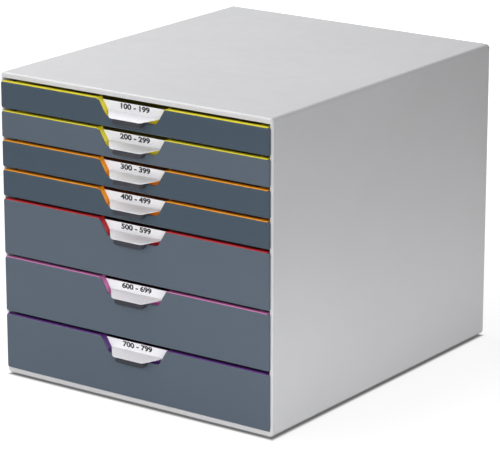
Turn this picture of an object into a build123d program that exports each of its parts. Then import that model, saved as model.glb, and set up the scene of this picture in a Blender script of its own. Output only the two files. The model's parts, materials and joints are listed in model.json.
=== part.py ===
from build123d import *
import math
import os

# Desk drawer unit: a moulded casing on rubber feet, holding a stack of trays that slide out to the front.
# Each tray is closed by a dark front with a pull in its middle and a label behind a clear holder.
# Lengths are in millimetres, angles in degrees. X runs to the right, Y to the back and Z up.
# The origin is on the floor, under the middle of the whole unit.

os.makedirs("parts", exist_ok=True)

# Overall size
WIDTH = 292.0  # across the casing
HEIGHT = 280.0  # floor to the casing's top
DEPTH = 356.0  # tips of the pulls to the casing's back
OVERRUN = 2.0  # how far a cut or a hidden root runs on

# Casing: a tube that is open at the front, with its back panel
CASE_WALL = 2.6
CASE_EDGE_RADIUS = 3.5  # long outer edges
CASE_INNER_RADIUS = 1.0
CASE_RIM_CHAMFER = 1.2  # outer edge of the open ends
TOP_LIP = 4.8  # height of the top's front edge
BASE_LIP = 5.0  # height of the base's front edge
LIP_DEPTH = 12.0
BACK_THICKNESS = 2.5
BACK_INSET = 3.0
CASE_FIT = 0.1  # between the casing and what is pressed into it

# Feet
FOOT_HEIGHT = 2.0
FOOT_RADIUS = 8.0
FOOT_INSET = 22.0  # foot's centre to the casing's sides and ends
FOOT_CHAMFER = 0.5

# Stack of drawers
DRAWER_UNITS = (1, 1, 1, 1, 2, 2, 2)  # height of each drawer in units, from the top
DRAWER_GAP = 2.5  # rim of a tray to the front above it
BASE_GAP = 1.0  # casing's base to the lowest front

# Fronts
FRONT_MARGIN = 1.9  # casing's edge left bare beside the fronts
FRONT_PROUD = 2.4  # face of the fronts ahead of the casing's edge
FRONT_THICKNESS = 1.5
FRONT_RETURN = 1.9  # edge walls that wrap round the tray's plate
FRONT_CORNER_RADIUS = 1.6
FRONT_EDGE_CHAMFER = 0.5
SHUT_GAP = 0.3  # edge walls to the casing when shut
SNAP_FIT = 0.15  # between pieces that clip together

# Trays
TRAY_WALL = 1.6
TRAY_FLOOR = 1.8
TRAY_CORNER_RADIUS = 6.0
TRAY_BACK_GAP = 6.0  # tray to the back panel
PLATE_THICKNESS = 2.3  # tray's front wall
RIM_THICKNESS = 0.7  # coloured rim that shows above the front
RIM_SETBACK = 0.2  # rim's edge behind the face

# Runners and what slides in them
RUNNER_WALL = 2.0
RUNNER_SETBACK = 2.0  # behind the casing's lips
LEDGE_WIDTH = 8.0
LEDGE_THICKNESS = 1.8
LEDGE_GAP = 1.4  # tray's side to the ledges
FLANGE_THICKNESS = 2.0
FLANGE_DROP = 3.0  # rim to the flange's top
FLANGE_SIDE_GAP = 1.8  # flange to the runner's wall
SLIDE_GAP = 0.3  # flange to the ledges below and above
STOP_DEPTH = 6.0
STOP_GAP = 0.6  # flange to the stop that it passes
LUG_LENGTH = 12.0
LUG_GAP = 0.4  # lug to the runner's wall
FLANGE_TAIL = 44.2  # flange behind the lugs, which stays in the runners when a drawer is out

# Recess for the label, in the middle of each front
RECESS_WIDTH = 73.0  # along the rim
RECESS_HEIGHT = 15.0
RECESS_DEPTH = 6.2
RECESS_LEAN = 31.5  # sides, from upright
RECESS_WALL = 1.0
RECESS_RADIUS = 4.5
RECESS_BACK = 1.2
RECESS_BACK_DROP = 2.8  # rim to the top of the recess's back
SHOULDER_RADIUS = 2.8  # where the rim turns down into the recess

# Label and its clear holder: an upright window that folds into a sloping shelf over the pull
WINDOW_THICKNESS = 0.7
WINDOW_DROP = 1.6  # rim to the window's top
WINDOW_FIT = 0.4  # window and label to the recess's sides
LABEL_THICKNESS = 0.35
LABEL_GAP = 0.15  # label to the holder
LABEL_INSET = 0.7  # label's edge inside the shelf's edge
SHELF_THICKNESS = 1.0
SHELF_WIDTH = 57.6  # at the fold
SHELF_LIP_WIDTH = 34.2  # at the tip of the pull
SHELF_LIP_RADIUS = 7.0
FOLD_DROP = 9.5  # rim to the fold
LIP_DROP = 12.2  # rim to the shelf's front edge

# Pull: a hollow nose under the shelf
PULL_REACH = 9.6  # shelf's front edge ahead of the face
NOSE_SETBACK = 0.5  # nose behind the shelf's front edge
NOSE_ROOT_WIDTH = 36.0  # at the face
NOSE_TIP_WIDTH = 29.2
NOSE_FOOT_WIDTH = 28.6  # across the underside
NOSE_DROP = 20.0  # rim to the nose's underside
NOSE_RAKE = 3.6  # underside's front edge behind the tip
NOSE_CORNER_RADIUS = 7.0  # tip, seen from above
NOSE_FOOT_RADIUS = 6.0  # underside, seen from the front
NOSE_TOE_RADIUS = 2.5  # underside, seen from the side
NOSE_WALL = 1.4

# Places that follow from these sizes
lip_y = -DEPTH / 2
back_y = DEPTH / 2
face_y = lip_y + PULL_REACH
case_y = face_y + FRONT_PROUD
case_inner_half = WIDTH / 2 - CASE_WALL
case_inner_bottom = FOOT_HEIGHT + CASE_WALL
case_inner_top = HEIGHT - CASE_WALL
back_panel_y = back_y - BACK_INSET - BACK_THICKNESS

stack_bottom = FOOT_HEIGHT + BASE_LIP + BASE_GAP
stack_top = HEIGHT - TOP_LIP
unit_height = (stack_top - stack_bottom) / sum(DRAWER_UNITS)

runner_half = case_inner_half - CASE_FIT - RUNNER_WALL
ledge_half = runner_half - LEDGE_WIDTH
tray_half = ledge_half - LEDGE_GAP
flange_half = runner_half - FLANGE_SIDE_GAP
lug_half = runner_half - LUG_GAP
stop_half = flange_half + STOP_GAP
runner_y = case_y + LIP_DEPTH + RUNNER_SETBACK
runner_back_y = back_panel_y - CASE_FIT

front_half = WIDTH / 2 - FRONT_MARGIN
plate_half = front_half - FRONT_RETURN - SNAP_FIT
rim_y = face_y + RIM_SETBACK
plate_y = face_y + FRONT_THICKNESS
plate_back_y = plate_y + PLATE_THICKNESS
tray_back_y = back_panel_y - TRAY_BACK_GAP
flange_y = runner_y - RUNNER_SETBACK
flange_back_y = tray_back_y - TRAY_CORNER_RADIUS
lug_back_y = flange_back_y - FLANGE_TAIL

recess_back_y = face_y + RECESS_DEPTH
label_y = recess_back_y - LABEL_THICKNESS
fold_y = label_y - LABEL_GAP - WINDOW_THICKNESS
shelf_slope = math.atan2(LIP_DROP - FOLD_DROP, fold_y - lip_y)
label_below = SHELF_THICKNESS + LABEL_GAP
nose_below = label_below + LABEL_THICKNESS


def upright(y):
    """Plane across the unit at depth y: X to the right, Z up. A negative extrusion runs to the back."""
    return Plane.XZ.offset(-y)


def recess_half(drop):
    """Half the recess's width at a distance below the rim."""
    return RECESS_WIDTH / 2 - drop * math.tan(math.radians(RECESS_LEAN))


def shelf_plane(rim_z, below):
    """Plane of the sloping shelf's top, or one parallel to it and lower."""
    normal = (0, -math.sin(shelf_slope), math.cos(shelf_slope))
    return Plane((0, fold_y, rim_z - FOLD_DROP), x_dir=(1, 0, 0), z_dir=normal).offset(-below)


def shelf_drop(y, below):
    """Distance below the rim of such a plane at depth y."""
    return FOLD_DROP - (y - fold_y) * math.tan(shelf_slope) + below / math.cos(shelf_slope)


def shelf_reach(y, below):
    """Place of depth y along such a plane, from its own origin."""
    return (y - fold_y - below * math.sin(shelf_slope)) / math.cos(shelf_slope)


def recess_outline(rim_z, drop, spread):
    """Draws the recess from above the rim down to a drop, with its sides moved outwards by a spread."""
    top_half = recess_half(-OVERRUN) + spread
    bottom_half = recess_half(drop) + spread
    top_z = rim_z + OVERRUN
    bottom_z = rim_z - drop
    Polygon(
        (-top_half, top_z),
        (-bottom_half, bottom_z),
        (bottom_half, bottom_z),
        (top_half, top_z),
        align=None,
    )


def recess_opening(rim_z, level):
    """Sketch of all that is open above a level and in the recess, with its shoulders and corners rounded."""
    with BuildSketch() as opening:
        recess_outline(rim_z, RECESS_HEIGHT, 0)
        with Locations((0, level)):
            Rectangle(2 * WIDTH, RECESS_HEIGHT, align=(Align.CENTER, Align.MIN))
        levels = opening.vertices().group_by(Axis.Y)
        fillet(levels[1].sort_by(Axis.X)[1:-1], SHOULDER_RADIUS)
        fillet(opening.vertices().group_by(Axis.Y)[0], RECESS_RADIUS)
    return opening.sketch


def trim_above(z):
    """Cuts the upright sketch of a recess off above a height."""
    with Locations((0, z)):
        Rectangle(2 * RECESS_WIDTH, RECESS_HEIGHT, align=(Align.CENTER, Align.MIN), mode=Mode.SUBTRACT)


def shelf_outline(end_y, below, thickness, inset):
    """Draws the shelf in its own plane: straight behind the fold, then narrowing to the lip."""
    side = SHELF_WIDTH / 2 - inset
    tip = SHELF_LIP_WIDTH / 2 - inset
    back = shelf_reach(end_y, below + thickness)
    fold = shelf_reach(fold_y, below)
    front = shelf_reach(lip_y + inset, below)
    left = ((-side, back), (-side, fold), (-tip, front))
    right = ((tip, front), (side, fold), (side, back))
    Polygon(*left, *right, align=None)


def nose_side(rim_z, inset):
    """Draws the pull's nose from the side, from its root to its raked tip, moved in by an inset."""
    tip_y = lip_y + NOSE_SETBACK + inset
    foot_z = rim_z - NOSE_DROP + inset
    Polygon(
        (plate_y, rim_z - shelf_drop(plate_y, nose_below + inset)),
        (tip_y, rim_z - shelf_drop(tip_y, nose_below + inset)),
        (tip_y + NOSE_RAKE, foot_z),
        (plate_y, foot_z),
        align=None,
    )


def save(piece, name):
    """Names a finished piece and writes it."""
    piece.part.label = name
    export_step(piece.part, f"parts/{name}.step")


def make_casing():
    """Tube of the four outer walls, with a deeper lip at the front of the top and of the base."""
    with BuildPart() as casing:
        with BuildSketch(upright(case_y)):
            with Locations((0, (FOOT_HEIGHT + HEIGHT) / 2)):
                RectangleRounded(WIDTH, HEIGHT - FOOT_HEIGHT, CASE_EDGE_RADIUS)
            with Locations((0, (case_inner_bottom + case_inner_top) / 2)):
                RectangleRounded(
                    2 * case_inner_half,
                    case_inner_top - case_inner_bottom,
                    CASE_INNER_RADIUS,
                    mode=Mode.SUBTRACT,
                )
        extrude(amount=case_y - back_y)
        with BuildSketch(upright(case_y)):
            with Locations((0, HEIGHT - TOP_LIP)):
                Rectangle(2 * case_inner_half, TOP_LIP - CASE_WALL / 2, align=(Align.CENTER, Align.MIN))
            with Locations((0, FOOT_HEIGHT + BASE_LIP)):
                Rectangle(2 * case_inner_half, BASE_LIP - CASE_WALL / 2, align=(Align.CENTER, Align.MAX))
        extrude(amount=-LIP_DEPTH)
        ends = casing.faces().filter_by(Axis.Y).sort_by(Axis.Y)
        chamfer(ends[0].outer_wire().edges() + ends[-1].outer_wire().edges(), CASE_RIM_CHAMFER)
    save(casing, "casing")


def make_back_panel():
    """Plain panel that closes the tube, set in a little from its back edge."""
    with BuildPart() as back_panel:
        with BuildSketch(upright(back_panel_y)):
            with Locations((0, (case_inner_bottom + case_inner_top) / 2)):
                RectangleRounded(
                    2 * (case_inner_half - CASE_FIT),
                    case_inner_top - case_inner_bottom - 2 * CASE_FIT,
                    CASE_INNER_RADIUS,
                )
        extrude(amount=-BACK_THICKNESS)
    save(back_panel, "back_panel")


def make_foot(name, x, y):
    """Round rubber foot under the base."""
    with BuildPart() as foot:
        with BuildSketch(Plane.XY):
            with Locations((x, y)):
                Circle(FOOT_RADIUS)
        extrude(amount=FOOT_HEIGHT)
        chamfer(foot.edges().group_by(Axis.Z)[0], FOOT_CHAMFER)
    save(foot, name)


def make_runner(name, side):
    """Moulded side frame: a wall with a channel for each unit of the stack and a stop in its mouth."""
    wall_middle = runner_half + RUNNER_WALL / 2
    with BuildPart() as runner:
        with BuildSketch(upright(runner_y)):
            with Locations((side * wall_middle, (case_inner_bottom + case_inner_top) / 2)):
                Rectangle(RUNNER_WALL, case_inner_top - case_inner_bottom - 2 * CASE_INNER_RADIUS)
            for rim_z in unit_rims:
                channel_top = rim_z - FLANGE_DROP + SLIDE_GAP
                channel_bottom = rim_z - FLANGE_DROP - FLANGE_THICKNESS - SLIDE_GAP
                for ledge_z in (channel_top + LEDGE_THICKNESS / 2, channel_bottom - LEDGE_THICKNESS / 2):
                    with Locations((side * (ledge_half + wall_middle) / 2, ledge_z)):
                        Rectangle(wall_middle - ledge_half, LEDGE_THICKNESS)
        extrude(amount=runner_y - runner_back_y)
        with BuildSketch(upright(runner_y)):
            for rim_z in unit_rims:
                channel_middle = rim_z - FLANGE_DROP - FLANGE_THICKNESS / 2
                with Locations((side * (stop_half + runner_half) / 2, channel_middle)):
                    Rectangle(runner_half - stop_half, FLANGE_THICKNESS + 2 * SLIDE_GAP)
        extrude(amount=-STOP_DEPTH)
    save(runner, name)


def make_tray(name, front_z, rim_z):
    """Coloured tray: open box, flanges that slide in the runners, front plate, rim and label recess."""
    tray_z = front_z + FRONT_RETURN + SNAP_FIT
    tray_top = rim_z - RIM_THICKNESS
    flange_z = rim_z - FLANGE_DROP - FLANGE_THICKNESS
    flange_root = tray_half - TRAY_WALL / 2
    wall_spread = RECESS_WALL / math.cos(math.radians(RECESS_LEAN))
    opening = recess_opening(rim_z, rim_z)
    front_opening = recess_opening(rim_z, tray_top)
    with BuildPart() as tray:
        with BuildSketch(Plane.XY.offset(tray_z)) as footprint:
            with Locations((0, (plate_y + tray_back_y) / 2)):
                Rectangle(2 * tray_half, tray_back_y - plate_y)
            fillet(footprint.vertices().group_by(Axis.Y)[-1], TRAY_CORNER_RADIUS)
        extrude(amount=tray_top - tray_z)
        with BuildSketch(Plane.XY.offset(flange_z)):
            for side in (-1, 1):
                with Locations((side * (flange_root + flange_half) / 2, (flange_y + flange_back_y) / 2)):
                    Rectangle(flange_half - flange_root, flange_back_y - flange_y)
                with Locations((side * (flange_root + lug_half) / 2, lug_back_y - LUG_LENGTH / 2)):
                    Rectangle(lug_half - flange_root, LUG_LENGTH)
        extrude(amount=FLANGE_THICKNESS)
        with BuildSketch(Plane.XY.offset(tray_z + TRAY_FLOOR)) as inside:
            with Locations((0, (plate_back_y + tray_back_y - TRAY_WALL) / 2)):
                Rectangle(2 * (tray_half - TRAY_WALL), tray_back_y - TRAY_WALL - plate_back_y)
            fillet(inside.vertices().group_by(Axis.Y)[-1], TRAY_CORNER_RADIUS - TRAY_WALL)
        extrude(amount=tray_top - tray_z, mode=Mode.SUBTRACT)
        with BuildSketch(upright(plate_y)):
            with Locations((0, (tray_z + rim_z) / 2)):
                Rectangle(2 * plate_half, rim_z - tray_z)
        extrude(amount=-PLATE_THICKNESS)
        with BuildSketch(upright(rim_y)):
            with Locations((0, rim_z)):
                Rectangle(2 * plate_half, RECESS_HEIGHT, align=(Align.CENTER, Align.MAX))
            add(front_opening, mode=Mode.INTERSECT)
            add(opening, mode=Mode.SUBTRACT)
        extrude(amount=rim_y - plate_y)
        with BuildSketch(upright(plate_y)) as pocket:
            recess_outline(rim_z, RECESS_HEIGHT + RECESS_WALL, wall_spread)
            fillet(pocket.vertices().group_by(Axis.Y)[0], RECESS_RADIUS + RECESS_WALL)
            trim_above(rim_z)
        extrude(amount=plate_y - recess_back_y - RECESS_BACK)
        with BuildSketch(upright(rim_y)):
            add(opening)
        extrude(amount=rim_y - recess_back_y, mode=Mode.SUBTRACT)
        with BuildSketch(upright(face_y)):
            recess_outline(rim_z, RECESS_BACK_DROP, 0)
        extrude(amount=-RECESS_DEPTH - RECESS_BACK - OVERRUN, mode=Mode.SUBTRACT)
    save(tray, name)


def make_nose(rim_z):
    """Nose of the pull: what its three views have in common, cored out from behind."""
    root_half = NOSE_ROOT_WIDTH / 2
    tip_half = NOSE_TIP_WIDTH / 2
    foot_half = NOSE_FOOT_WIDTH / 2
    tip_y = lip_y + NOSE_SETBACK
    foot_z = rim_z - NOSE_DROP
    top_z = rim_z - shelf_drop(plate_y, nose_below)
    with BuildPart() as nose:
        with BuildSketch(Plane.YZ) as side:
            nose_side(rim_z, 0)
            fillet(side.vertices().group_by(Axis.Y)[0].sort_by(Axis.X)[0], NOSE_TOE_RADIUS)
        extrude(amount=root_half, both=True)
        with BuildSketch(upright(tip_y)) as front_view:
            top = ((-root_half, top_z), (root_half, top_z))
            Polygon(*top, (foot_half, foot_z), (-foot_half, foot_z), align=None)
            fillet(front_view.vertices().group_by(Axis.Y)[0], NOSE_FOOT_RADIUS)
        extrude(amount=tip_y - plate_y, mode=Mode.INTERSECT)
        with BuildSketch(Plane.XY.offset(foot_z)) as plan:
            root = ((-root_half, plate_y), (-root_half, face_y), (root_half, face_y), (root_half, plate_y))
            Polygon(*root[:2], (-tip_half, tip_y), (tip_half, tip_y), *root[2:], align=None)
            fillet(plan.vertices().group_by(Axis.Y)[0], NOSE_CORNER_RADIUS)
        extrude(amount=top_z - foot_z, mode=Mode.INTERSECT)
        with BuildSketch(Plane.YZ):
            nose_side(rim_z, NOSE_WALL)
        extrude(amount=tip_half - 2 * NOSE_WALL, both=True, mode=Mode.SUBTRACT)
    return nose.part


def make_front(name, front_z, rim_z):
    """Dark front: a thin cap with edge walls, cut out round the recess, with the nose of the pull."""
    front_top = rim_z - RIM_THICKNESS - SNAP_FIT
    opening = recess_opening(rim_z, front_top)
    nose = make_nose(rim_z)
    with BuildPart() as front:
        with BuildSketch(upright(face_y)):
            with Locations((0, (front_z + front_top) / 2)):
                RectangleRounded(2 * front_half, front_top - front_z, FRONT_CORNER_RADIUS)
            add(opening, mode=Mode.SUBTRACT)
        extrude(amount=SHUT_GAP - FRONT_PROUD)
        chamfer(front.faces().sort_by(Axis.Y)[0].outer_wire().edges(), FRONT_EDGE_CHAMFER)
        with BuildSketch(upright(plate_y)):
            with Locations((0, front_z + FRONT_RETURN)):
                Rectangle(
                    2 * (front_half - FRONT_RETURN),
                    front_top - front_z,
                    align=(Align.CENTER, Align.MIN),
                )
        extrude(amount=-FRONT_PROUD, mode=Mode.SUBTRACT)
        add(nose)
    save(front, name)


def make_label_holder(name, rim_z):
    """Clear holder: the window in front of the label and the shelf that folds forward over the pull."""
    window_back_y = fold_y + WINDOW_THICKNESS
    window_foot = shelf_drop(window_back_y, SHELF_THICKNESS)
    with BuildPart() as holder:
        with BuildSketch(upright(fold_y)):
            recess_outline(rim_z, window_foot, -WINDOW_FIT)
            trim_above(rim_z - WINDOW_DROP)
        extrude(amount=-WINDOW_THICKNESS)
        with BuildSketch(shelf_plane(rim_z, 0)) as shelf:
            shelf_outline(window_back_y, 0, SHELF_THICKNESS, 0)
            fillet(shelf.vertices().group_by(Axis.Y)[0], SHELF_LIP_RADIUS)
        extrude(amount=-SHELF_THICKNESS)
    save(holder, name)


def make_label(name, rim_z):
    """White card: upright behind the window, then folded forward under the shelf."""
    label_back_y = label_y + LABEL_THICKNESS
    label_foot = shelf_drop(label_back_y, nose_below)
    with BuildPart() as label:
        with BuildSketch(upright(label_y)):
            recess_outline(rim_z, label_foot, -WINDOW_FIT - LABEL_INSET)
            trim_above(rim_z - WINDOW_DROP - LABEL_INSET)
        extrude(amount=-LABEL_THICKNESS)
        with BuildSketch(shelf_plane(rim_z, label_below)) as flap:
            shelf_outline(label_back_y, label_below, LABEL_THICKNESS, LABEL_INSET)
            fillet(flap.vertices().group_by(Axis.Y)[0], SHELF_LIP_RADIUS - LABEL_INSET)
        extrude(amount=-LABEL_THICKNESS)
    save(label, name)


unit_rims = [stack_bottom + (unit + 1) * unit_height - DRAWER_GAP for unit in range(sum(DRAWER_UNITS))]

make_casing()
make_back_panel()
foot_x = WIDTH / 2 - FOOT_INSET
make_foot("foot_front_left", -foot_x, case_y + FOOT_INSET)
make_foot("foot_front_right", foot_x, case_y + FOOT_INSET)
make_foot("foot_rear_left", -foot_x, back_y - FOOT_INSET)
make_foot("foot_rear_right", foot_x, back_y - FOOT_INSET)
make_runner("left_runner", -1)
make_runner("right_runner", 1)

drawer_top = stack_top
for number, units in enumerate(DRAWER_UNITS, start=1):
    drawer_bottom = drawer_top - units * unit_height
    drawer_rim = drawer_top - DRAWER_GAP
    make_tray(f"drawer_{number}_tray", drawer_bottom, drawer_rim)
    make_front(f"drawer_{number}_front", drawer_bottom, drawer_rim)
    make_label_holder(f"drawer_{number}_label_holder", drawer_rim)
    make_label(f"drawer_{number}_label", drawer_rim)
    drawer_top = drawer_bottom
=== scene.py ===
import json
import math

import bpy
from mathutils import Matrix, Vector

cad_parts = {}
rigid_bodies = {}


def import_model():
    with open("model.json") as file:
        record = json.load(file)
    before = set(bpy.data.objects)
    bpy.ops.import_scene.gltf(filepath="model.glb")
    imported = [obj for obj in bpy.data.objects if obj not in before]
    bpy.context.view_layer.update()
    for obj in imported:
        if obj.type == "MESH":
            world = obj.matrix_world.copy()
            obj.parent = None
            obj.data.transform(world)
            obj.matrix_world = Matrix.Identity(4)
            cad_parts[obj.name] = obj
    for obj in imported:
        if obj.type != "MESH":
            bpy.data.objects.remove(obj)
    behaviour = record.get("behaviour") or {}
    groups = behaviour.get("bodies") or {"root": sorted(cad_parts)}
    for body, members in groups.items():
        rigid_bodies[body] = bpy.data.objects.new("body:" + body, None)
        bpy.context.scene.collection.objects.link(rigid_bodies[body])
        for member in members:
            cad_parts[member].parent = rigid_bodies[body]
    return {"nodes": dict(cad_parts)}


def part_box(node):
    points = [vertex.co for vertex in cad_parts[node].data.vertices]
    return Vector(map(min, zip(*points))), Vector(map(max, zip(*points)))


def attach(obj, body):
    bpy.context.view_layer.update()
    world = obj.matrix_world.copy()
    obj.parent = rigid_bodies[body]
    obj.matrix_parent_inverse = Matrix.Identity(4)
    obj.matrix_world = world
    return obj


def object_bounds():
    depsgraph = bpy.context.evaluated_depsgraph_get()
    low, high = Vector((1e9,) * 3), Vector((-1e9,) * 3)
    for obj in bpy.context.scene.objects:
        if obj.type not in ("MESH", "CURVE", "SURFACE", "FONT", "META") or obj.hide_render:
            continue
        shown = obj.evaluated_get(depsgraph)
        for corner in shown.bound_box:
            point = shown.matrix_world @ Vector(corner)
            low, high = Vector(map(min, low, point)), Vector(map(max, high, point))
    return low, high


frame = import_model()
cad_low, cad_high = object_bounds()
nodes = frame["nodes"]
middle = (cad_low + cad_high) / 2
scene_objects = bpy.context.scene.collection.objects

# Sizes in metres
MM = 0.001
TRAY_COLOURS = {1: "yellow", 2: "yellow", 3: "orange", 4: "orange", 5: "red", 6: "pink", 7: "purple"}
# painted light: the fronts listed next get a lighter copy of the same slate
PAINTED_LIGHT_FRONTS = (2, 5, 6, 7)  # fronts that look lighter in the photograph
PULL_START = 0.5 * MM  # from the rims to where the pulls' painted shade starts
PULL_FADE = 0.4 * MM
CARD_THICKNESS = 0.35 * MM
INK_THICKNESS = 0.02 * MM
NUMBER_SIZE = 6.4 * MM  # font size of the numbers on the labels
NUMBER_WEIGHT = 0.28 * MM  # how much bolder than the font's own strokes
NUMBER_STRETCH = 1.3  # width of the figures
NUMBER_DROP = 3.3 * MM  # card's top edge to the middle of the numbers
NUMBER_CURVE_STEPS = 5
NUMBER_EDGE_STEPS = 0  # edges stay plain, not rounded

# Colours, linear
CASING_GREY = (0.555, 0.555, 0.567)
FRONT_SLATE = (0.048, 0.071, 0.095)
# painted light: the same slate made lighter, for some of the fronts
PAINTED_LIGHT_SLATE = (0.080, 0.104, 0.134)
# painted shade: the pulls ahead of the fronts' face are coloured darker, standing in for the shade they lie
# in under the label shelf
PULL_PAINTED_SHADE = (0.041, 0.043, 0.054)
RUNNER_GREY = (0.10, 0.11, 0.12)
RUBBER_BLACK = (0.018, 0.018, 0.018)
CARD_WHITE = (0.85, 0.845, 0.87)
INK_BLACK = (0.012, 0.012, 0.014)
CLEAR_GREY = (0.55, 0.55, 0.58)
WHITE = (1.0, 1.0, 1.0)
TRAY_PAINTS = {
    "yellow": (0.80, 0.70, 0.045),
    "orange": (0.88, 0.33, 0.020),
    "red": (0.50, 0.022, 0.032),
    "pink": (0.56, 0.18, 0.42),
    "purple": (0.105, 0.032, 0.20),
}

# Patterns of noise, with scales in waves per metre and how far they vary brightness, relief and roughness
NOISE_START = 0.3  # most of the noise lies between these
NOISE_END = 0.7
CLOUDS = {"scale": 9.0, "detail": 3.0}
CLOUD_TINT = (0.975, 1.02)
WAVES = {"scale": 24.0, "detail": 1.0}
WAVE_RELIEF = {"strength": 0.15, "distance": 0.4 * MM}
PATCHES = {"scale": 60.0, "detail": 4.0}
PULL_TINT = (0.95, 1.05)
PLASTIC_VARIATION = 0.05  # of the roughness, either way
GRAIN_DETAIL = 2.0
GRAIN_STRENGTH = 0.35
FIBRE = {"scale": 900.0, "detail": 5.0}
FIBRE_TINT = (0.96, 1.02)
FIBRE_RELIEF = {"strength": 0.2, "distance": 0.05 * MM}
SPECKS = {"scale": 1500.0, "detail": 3.0}
SPECK_TINT = (0.7, 1.6)
GRIT = {"scale": 1200.0, "detail": 4.0}
GRIT_TINT = (0.7, 1.4)
GRIT_RELIEF = {"strength": 0.4, "distance": 0.08 * MM}
HAZE = {"scale": 150.0, "detail": 3.0}
HAZE_TINT = (0.96, 1.0)

# Surfaces: roughness, and for moulded plastic the grain's waves per metre, its depth and the shine
CASING_SURFACE = {"roughness": 0.46, "grain": 1700.0, "depth": 0.06 * MM, "shine": 0.62}
FRONT_SURFACE = {"roughness": 0.42, "grain": 1700.0, "depth": 0.06 * MM, "shine": 0.35}
RUNNER_SURFACE = {"roughness": 0.5, "grain": 1500.0, "depth": 0.05 * MM, "shine": 0.35}
TRAY_SURFACE = {"roughness": 0.34, "grain": 2400.0, "depth": 0.02 * MM, "shine": 0.35}
CARD_ROUGHNESS = 0.75
INK_ROUGHNESS = 0.55
RUBBER_ROUGHNESS = (0.75, 0.95)
CLEAR_ROUGHNESS = (0.06, 0.14)
CLEAR_ALPHA = 0.025
CLEAR_IOR = 1.49

# Floor
FLOOR_HALF = 6.0
FLOOR_CORNERS = ((-1, -1), (1, -1), (1, 1), (-1, 1))  # in half widths
FLOOR_WHITE = (0.62, 0.62, 0.62)
FLOOR_SEEN = (0.26, 0.26, 0.26)  # what the camera sees of the floor's shading
FLOOR_ROUGHNESS = 0.9
FLOOR_SHINE = 0.0
NEAR_GLOW = 0.83  # plain white that the camera sees besides, near the object
FAR_GLOW = 1.0  # and away from it
FAR_START = 0.10  # distances from the casing between which the one becomes the other
FAR_END = 0.90
CONTACT_SHARE = 0.08  # what is left of the glow under the casing: a painted contact shade, over which the floor's own rendered shading shows
MIRROR_SHARE = 0.1  # and in reflections
CONTACT_WIDTH = 2.0 * MM  # either side of the casing's outline, over which it fades

# Light: soft boxes with place, aim, width and height in metres, of which only the key shows in reflections
SKY_LEVEL = 0.042  # what the sky adds to the light on the object
SKY_SEEN = 1.0  # what the camera sees of it
REAR_POINT = (-0.35, cad_high.y, 0.15)
SIDE_POINT = (cad_high.x, -0.03, 0.02)
FRONT_POINT = (0.0, cad_low.y, 0.03)
LAMPS = {
    "key": {"place": (-0.69, -0.15, 1.54), "aim": middle, "size": (1.2, 1.3), "watts": 22.2},
    "left_fill": {"place": (-0.63, -1.72, 1.13), "aim": middle, "size": (1.2, 0.9), "watts": 12.2},
    "right_fill": {"place": (0.90, -1.80, 0.45), "aim": middle, "size": (1.0, 0.6), "watts": 10.2},
    "side_fill": {"place": (1.75, -1.00, 0.75), "aim": middle, "size": (0.8, 0.8), "watts": 10.5},
    "rear_fill": {"place": (-0.35, 1.50, 0.20), "aim": REAR_POINT, "size": (0.9, 0.35), "watts": 9.0},
    "side_reflector": {"place": (0.36, -0.03, 0.02), "aim": SIDE_POINT, "size": (0.7, 0.04), "watts": 0.41},
    "front_reflector": {"place": (0.0, -0.52, 0.03), "aim": FRONT_POINT, "size": (0.8, 0.05), "watts": 0.52},
}
MIRRORED_LAMP = "key"

# Camera: fitted to the casing's corners in the photograph, a frame of 500 by 457 pixels
FRAME_WIDTH_PX = 500
FOCAL_PX = 2800
SENSOR_MM = 36.0
CAMERA_AZIMUTH = math.radians(35.681)
CAMERA_ELEVATION = math.radians(16.399)
CAMERA_PLACE = (1.4254, -1.9798, 0.8399)


def opaque(colour, brightness=1.0):
    """Colour with full opacity, made brighter or darker."""
    return (*(min(1.0, brightness * channel) for channel in colour), 1.0)


def material(name):
    """New node material: its node tree, its shader and the object coordinates."""
    made = bpy.data.materials.new(name)
    made.use_nodes = True
    tree = made.node_tree
    shader = tree.nodes["Principled BSDF"]
    place = tree.nodes.new("ShaderNodeTexCoord").outputs["Object"]
    return made, tree, shader, place


def feed(tree, socket, value):
    """Links a field to a socket, or sets the socket to a plain value."""
    if isinstance(value, bpy.types.NodeSocket):
        tree.links.new(value, socket)
    else:
        socket.default_value = value


def noise(tree, place, scale, detail):
    """Noise field of a given number of waves per metre."""
    node = tree.nodes.new("ShaderNodeTexNoise")
    node.inputs["Scale"].default_value = scale
    node.inputs["Detail"].default_value = detail
    tree.links.new(place, node.inputs["Vector"])
    return node.outputs["Fac"]


def number(tree, operation, first, second=None):
    """Result of an operation on a field, with another field or a plain value."""
    node = tree.nodes.new("ShaderNodeMath")
    node.operation = operation
    tree.links.new(first, node.inputs[0])
    if second is not None:
        feed(tree, node.inputs[1], second)
    return node.outputs["Value"]


def spread(tree, field, low, high, start=NOISE_START, end=NOISE_END):
    """Field stretched to run from low to high as it goes from start to end, and flat beyond."""
    node = tree.nodes.new("ShaderNodeMapRange")
    node.inputs["From Min"].default_value = start
    node.inputs["From Max"].default_value = end
    node.inputs["To Min"].default_value = low
    node.inputs["To Max"].default_value = high
    tree.links.new(field, node.inputs["Value"])
    return node.outputs["Result"]


def blend(tree, field, first, second):
    """Colour that goes from the first to the second as the field goes from 0 to 1."""
    node = tree.nodes.new("ShaderNodeMix")
    node.data_type = "RGBA"
    feed(tree, node.inputs["A"], first)
    feed(tree, node.inputs["B"], second)
    tree.links.new(field, node.inputs["Factor"])
    return node.outputs["Result"]


def tint(tree, field, colour, low, high):
    """Colour that the field varies from low to high times its brightness."""
    return blend(tree, field, opaque(colour, low), opaque(colour, high))


def bump(tree, field, strength, distance, under=None):
    """Relief of a field, over another relief if one is given."""
    node = tree.nodes.new("ShaderNodeBump")
    node.inputs["Strength"].default_value = strength
    node.inputs["Distance"].default_value = distance
    tree.links.new(field, node.inputs["Height"])
    if under is not None:
        tree.links.new(under, node.inputs["Normal"])
    return node.outputs["Normal"]


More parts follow.
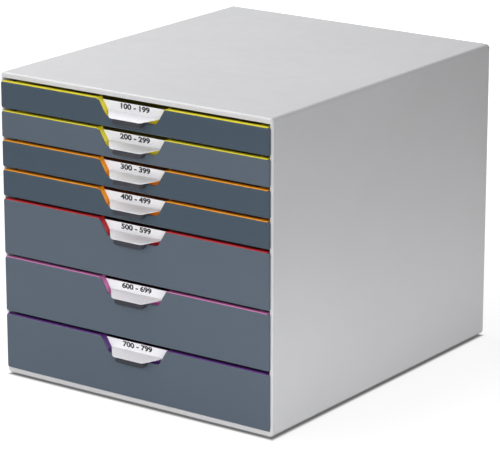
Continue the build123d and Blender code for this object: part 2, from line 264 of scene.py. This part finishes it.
def ahead_of_face(tree, place):
    """Field that is 0 on the face of the fronts and 1 on the pulls ahead of it, where the pulls' painted
    shade goes.
    """
    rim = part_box("drawer_1_tray")[0].y
    apart = tree.nodes.new("ShaderNodeSeparateXYZ")
    tree.links.new(place, apart.inputs["Vector"])
    return spread(tree, apart.outputs["Y"], 1.0, 0.0, rim - PULL_START - PULL_FADE, rim - PULL_START)


def moulded(name, colour, roughness, grain, depth, shine, pull_painted_shade=None):
    """Moulded plastic: faint clouds in the colour, a fine grain and a slight waviness, and painted shade on
    the pulls if a colour for it is given.
    """
    made, tree, shader, place = material(name)
    clouds = spread(tree, noise(tree, place, **CLOUDS), 0.0, 1.0)
    fine = noise(tree, place, grain, GRAIN_DETAIL)
    wave = noise(tree, place, **WAVES)
    patches = noise(tree, place, **PATCHES)
    shade = tint(tree, clouds, colour, *CLOUD_TINT)
    if pull_painted_shade is not None:
        # painted shade: a darker colour on the pulls
        painted_pull_tone = tint(tree, patches, pull_painted_shade, *PULL_TINT)
        shade = blend(tree, ahead_of_face(tree, place), shade, painted_pull_tone)
    feed(tree, shader.inputs["Base Color"], shade)
    uneven = spread(tree, patches, roughness - PLASTIC_VARIATION, roughness + PLASTIC_VARIATION)
    feed(tree, shader.inputs["Roughness"], uneven)
    feed(tree, shader.inputs["Specular IOR Level"], shine)
    waves = bump(tree, wave, **WAVE_RELIEF)
    feed(tree, shader.inputs["Normal"], bump(tree, fine, GRAIN_STRENGTH, depth, waves))
    return made


def card(name):
    """White paper card with a faint fibre."""
    made, tree, shader, place = material(name)
    fibre = noise(tree, place, **FIBRE)
    feed(tree, shader.inputs["Base Color"], tint(tree, fibre, CARD_WHITE, *FIBRE_TINT))
    feed(tree, shader.inputs["Roughness"], CARD_ROUGHNESS)
    feed(tree, shader.inputs["Normal"], bump(tree, fibre, **FIBRE_RELIEF))
    return made


def ink(name):
    """Printed black with a little unevenness."""
    made, tree, shader, place = material(name)
    specks = noise(tree, place, **SPECKS)
    feed(tree, shader.inputs["Base Color"], tint(tree, specks, INK_BLACK, *SPECK_TINT))
    feed(tree, shader.inputs["Roughness"], INK_ROUGHNESS)
    return made


def rubber(name):
    """Dull black rubber."""
    made, tree, shader, place = material(name)
    grit = noise(tree, place, **GRIT)
    feed(tree, shader.inputs["Base Color"], tint(tree, grit, RUBBER_BLACK, *GRIT_TINT))
    feed(tree, shader.inputs["Roughness"], spread(tree, grit, *RUBBER_ROUGHNESS))
    feed(tree, shader.inputs["Normal"], bump(tree, grit, **GRIT_RELIEF))
    return made


def clear(name):
    """Clear plastic with a very slight haze."""
    made, tree, shader, place = material(name)
    haze = noise(tree, place, **HAZE)
    feed(tree, shader.inputs["Base Color"], tint(tree, haze, CLEAR_GREY, *HAZE_TINT))
    feed(tree, shader.inputs["Alpha"], CLEAR_ALPHA)
    feed(tree, shader.inputs["IOR"], CLEAR_IOR)
    feed(tree, shader.inputs["Roughness"], spread(tree, haze, *CLEAR_ROUGHNESS))
    return made


def dress(node, finish):
    """Gives a CAD node its finish."""
    mesh = nodes[node].data
    mesh.materials.clear()
    mesh.materials.append(finish)


def number_label(drawer):
    """Range of numbers printed on a drawer's card."""
    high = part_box(f"drawer_{drawer}_label")[1]
    text = bpy.data.curves.new(f"number_text_{drawer}", "FONT")
    text.body = f"{drawer}00 - {drawer}99"
    text.size = NUMBER_SIZE
    text.align_x = "CENTER"
    text.align_y = "CENTER"
    text.resolution_u = NUMBER_CURVE_STEPS
    text.bevel_resolution = NUMBER_EDGE_STEPS
    text.bevel_depth = NUMBER_WEIGHT
    shape = bpy.data.objects.new(f"number_shape_{drawer}", text)
    scene_objects.link(shape)
    bpy.context.view_layer.update()
    mesh = bpy.data.meshes.new_from_object(shape.evaluated_get(bpy.context.evaluated_depsgraph_get()))
    bpy.data.objects.remove(shape)
    for vertex in mesh.vertices:
        vertex.co.x *= NUMBER_STRETCH
        vertex.co.z *= INK_THICKNESS / NUMBER_WEIGHT
    piece = bpy.data.objects.new(f"drawer_{drawer}_number", mesh)
    scene_objects.link(piece)
    piece.location = (0, high.y - CARD_THICKNESS - INK_THICKNESS, high.z - NUMBER_DROP)
    piece.rotation_euler = (math.pi / 2, 0, 0)
    mesh.materials.clear()
    mesh.materials.append(ink_finish)
    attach(piece, f"drawer_{drawer}")


casing_finish = moulded("casing_plastic", CASING_GREY, **CASING_SURFACE)
front_finish = moulded("front_plastic", FRONT_SLATE, **FRONT_SURFACE, pull_painted_shade=PULL_PAINTED_SHADE)
# painted light: a lighter copy of the front plastic
painted_light_front_finish = moulded("front_plastic_painted_light", PAINTED_LIGHT_SLATE, **FRONT_SURFACE, pull_painted_shade=PULL_PAINTED_SHADE)
runner_finish = moulded("runner_plastic", RUNNER_GREY, **RUNNER_SURFACE)
tray_finishes = {
    colour: moulded(f"tray_{colour}", paint, **TRAY_SURFACE)
    for colour, paint in TRAY_PAINTS.items()
}
card_finish = card("label_card")
ink_finish = ink("label_ink")
rubber_finish = rubber("foot_rubber")
clear_finish = clear("clear_plastic")

for node in ("casing", "back_panel"):
    dress(node, casing_finish)
for node in ("left_runner", "right_runner"):
    dress(node, runner_finish)
for node in ("foot_front_left", "foot_front_right", "foot_rear_left", "foot_rear_right"):
    dress(node, rubber_finish)
for drawer, colour in TRAY_COLOURS.items():
    dress(f"drawer_{drawer}_tray", tray_finishes[colour])
    dress(f"drawer_{drawer}_front", painted_light_front_finish if drawer in PAINTED_LIGHT_FRONTS else front_finish)
    dress(f"drawer_{drawer}_label_holder", clear_finish)
    dress(f"drawer_{drawer}_label", card_finish)
    number_label(drawer)


# Stage
def seen_rays(tree, mirror_share=1.0):
    """One for what the camera sees, directly or through clear plastic, and a share for what is mirrored."""
    rays = tree.nodes.new("ShaderNodeLightPath")
    direct = number(tree, "MAXIMUM", rays.outputs["Is Camera Ray"], rays.outputs["Is Transmission Ray"])
    mirrored = number(tree, "MULTIPLY", rays.outputs["Is Glossy Ray"], mirror_share)
    return number(tree, "MAXIMUM", direct, mirrored)


def from_casing(tree, place):
    """Field of the distance outside the casing's outline, negative under it."""
    low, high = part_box("casing")
    apart = tree.nodes.new("ShaderNodeSeparateXYZ")
    tree.links.new(place, apart.inputs["Vector"])
    distances = []
    for axis, name in enumerate("XY"):
        centre = (low[axis] + high[axis]) / 2
        half = (high[axis] - low[axis]) / 2
        from_centre = number(tree, "ABSOLUTE", number(tree, "SUBTRACT", apart.outputs[name], centre))
        distances.append(number(tree, "SUBTRACT", from_centre, half))
    return number(tree, "MAXIMUM", *distances)


def floor_material():
    """White floor that the object's shadow darkens only a little where it is seen, with the glow taken away
    under the casing's outline as a painted contact shade.
    """
    made, tree, shader, place = material("floor_white")
    shade = blend(tree, seen_rays(tree), opaque(FLOOR_WHITE), opaque(FLOOR_SEEN))
    feed(tree, shader.inputs["Base Color"], shade)
    feed(tree, shader.inputs["Roughness"], FLOOR_ROUGHNESS)
    feed(tree, shader.inputs["Specular IOR Level"], FLOOR_SHINE)
    feed(tree, shader.inputs["Emission Color"], opaque(WHITE))
    distance = from_casing(tree, place)
    # painted contact shade: the glow fades out under the casing's outline, leaving a dark line along it
    painted_contact_shade = spread(tree, distance, CONTACT_SHARE, 1.0, -CONTACT_WIDTH, CONTACT_WIDTH)
    glow = spread(tree, distance, NEAR_GLOW, FAR_GLOW, FAR_START, FAR_END)
    shown = number(tree, "MULTIPLY", seen_rays(tree, MIRROR_SHARE), painted_contact_shade)
    feed(tree, shader.inputs["Emission Strength"], number(tree, "MULTIPLY", shown, glow))
    return made


def softbox(name, place, aim, size, watts):
    """Rectangular soft light aimed at a point, which the camera doesn't see."""
    lamp = bpy.data.lights.new(name, "AREA")
    lamp.shape = "RECTANGLE"
    lamp.size, lamp.size_y = size
    lamp.energy = watts
    lamp_object = bpy.data.objects.new(name, lamp)
    scene_objects.link(lamp_object)
    lamp_object.location = place
    lamp_object.rotation_euler = (Vector(aim) - Vector(place)).to_track_quat("-Z", "Y").to_euler()
    lamp_object.visible_camera = False
    lamp_object.visible_glossy = name == MIRRORED_LAMP


floor_mesh = bpy.data.meshes.new("floor")
floor_mesh.from_pydata([(FLOOR_HALF * x, FLOOR_HALF * y, 0) for x, y in FLOOR_CORNERS], [], [(0, 1, 2, 3)])
floor = bpy.data.objects.new("floor", floor_mesh)
scene_objects.link(floor)
floor_mesh.materials.append(floor_material())

world = bpy.data.worlds.new("studio")
bpy.context.scene.world = world
world.use_nodes = True
sky_tree = world.node_tree
sky = sky_tree.nodes["Background"]
feed(sky_tree, sky.inputs["Color"], opaque(WHITE))
feed(sky_tree, sky.inputs["Strength"], spread(sky_tree, seen_rays(sky_tree), SKY_LEVEL, SKY_SEEN, 0.0, 1.0))

for name, lamp in LAMPS.items():
    softbox(name, **lamp)

camera_data = bpy.data.cameras.new("camera")
camera_data.sensor_width = SENSOR_MM
camera_data.lens = FOCAL_PX / FRAME_WIDTH_PX * SENSOR_MM
camera = bpy.data.objects.new("camera", camera_data)
scene_objects.link(camera)
across = math.cos(CAMERA_ELEVATION)
looking = Vector((
    -math.sin(CAMERA_AZIMUTH) * across,
    math.cos(CAMERA_AZIMUTH) * across,
    -math.sin(CAMERA_ELEVATION),
))
camera.location = CAMERA_PLACE
camera.rotation_euler = looking.to_track_quat("-Z", "Y").to_euler()
bpy.context.scene.camera = camera
bpy.context.scene.view_settings.view_transform = "Standard"
